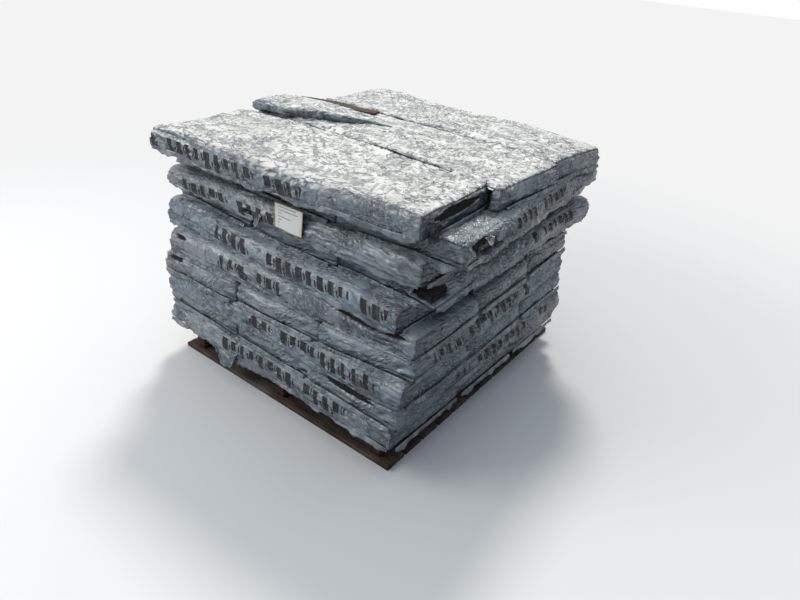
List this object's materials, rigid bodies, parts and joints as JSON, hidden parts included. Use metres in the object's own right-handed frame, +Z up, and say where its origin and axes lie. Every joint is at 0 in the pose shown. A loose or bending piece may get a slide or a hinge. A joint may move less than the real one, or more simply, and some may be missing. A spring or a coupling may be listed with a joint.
{
  "type": "palletised asphalt shingle bundles",
  "caption": "Wooden pallet stacked with film-wrapped bundles of asphalt roofing shingles in crossed courses, with a paper tag on the front.",
  "frame": {"origin": "on the floor under the middle of the sixth bottom board from the front, half a board pitch in front of the middle of the pallet", "axes": "+X along the front of the pallet, +Y from the front to the back, +Z up"},
  "size_m": [1.1249, 1.1426, 0.837],
  "materials": {
    "film": "satin",
    "weathered_wood": "matte",
    "paper": "matte"
  },
  "bodies": {
    "root": {"stringer_left": "weathered_wood", "stringer_middle": "weathered_wood", "stringer_right": "weathered_wood", "bottom_board_01": "weathered_wood", "bottom_board_02": "weathered_wood", "bottom_board_03": "weathered_wood", "bottom_board_04": "weathered_wood", "bottom_board_05": "weathered_wood", "bottom_board_06": "weathered_wood", "bottom_board_07": "weathered_wood", "bottom_board_08": "weathered_wood", "bottom_board_09": "weathered_wood", "bottom_board_10": "weathered_wood", "bottom_board_11": "weathered_wood", "bottom_board_12": "weathered_wood", "top_board_01": "weathered_wood", "top_board_02": "weathered_wood", "top_board_03": "weathered_wood", "top_board_04": "weathered_wood", "top_board_05": "weathered_wood", "top_board_06": "weathered_wood", "top_board_07": "weathered_wood", "top_board_08": "weathered_wood", "top_board_09": "weathered_wood", "top_board_10": "weathered_wood", "top_board_11": "weathered_wood", "top_board_12": "weathered_wood", "bundle_01a": "film", "bundle_01b": "film", "bundle_01c": "film", "bundle_02a": "film", "bundle_02b": "film", "bundle_02c": "film", "bundle_03a": "film", "bundle_03b": "film", "bundle_03c": "film", "bundle_04a": "film", "bundle_04b": "film", "bundle_04c": "film", "bundle_05a": "film", "bundle_05b": "film", "bundle_05c": "film", "bundle_06a": "film", "bundle_06b": "film", "bundle_06c": "film", "bundle_07a": "film", "bundle_07b": "film", "bundle_07c": "film", "bundle_08a": "film", "bundle_08b": "film", "bundle_08c": "film", "bundle_09a": "film", "bundle_09b": "film", "bundle_09c": "film", "bundle_10a": "film", "bundle_10b": "film", "bundle_10c": "film", "paper_tag": "paper"}
  },
  "joints": []
}
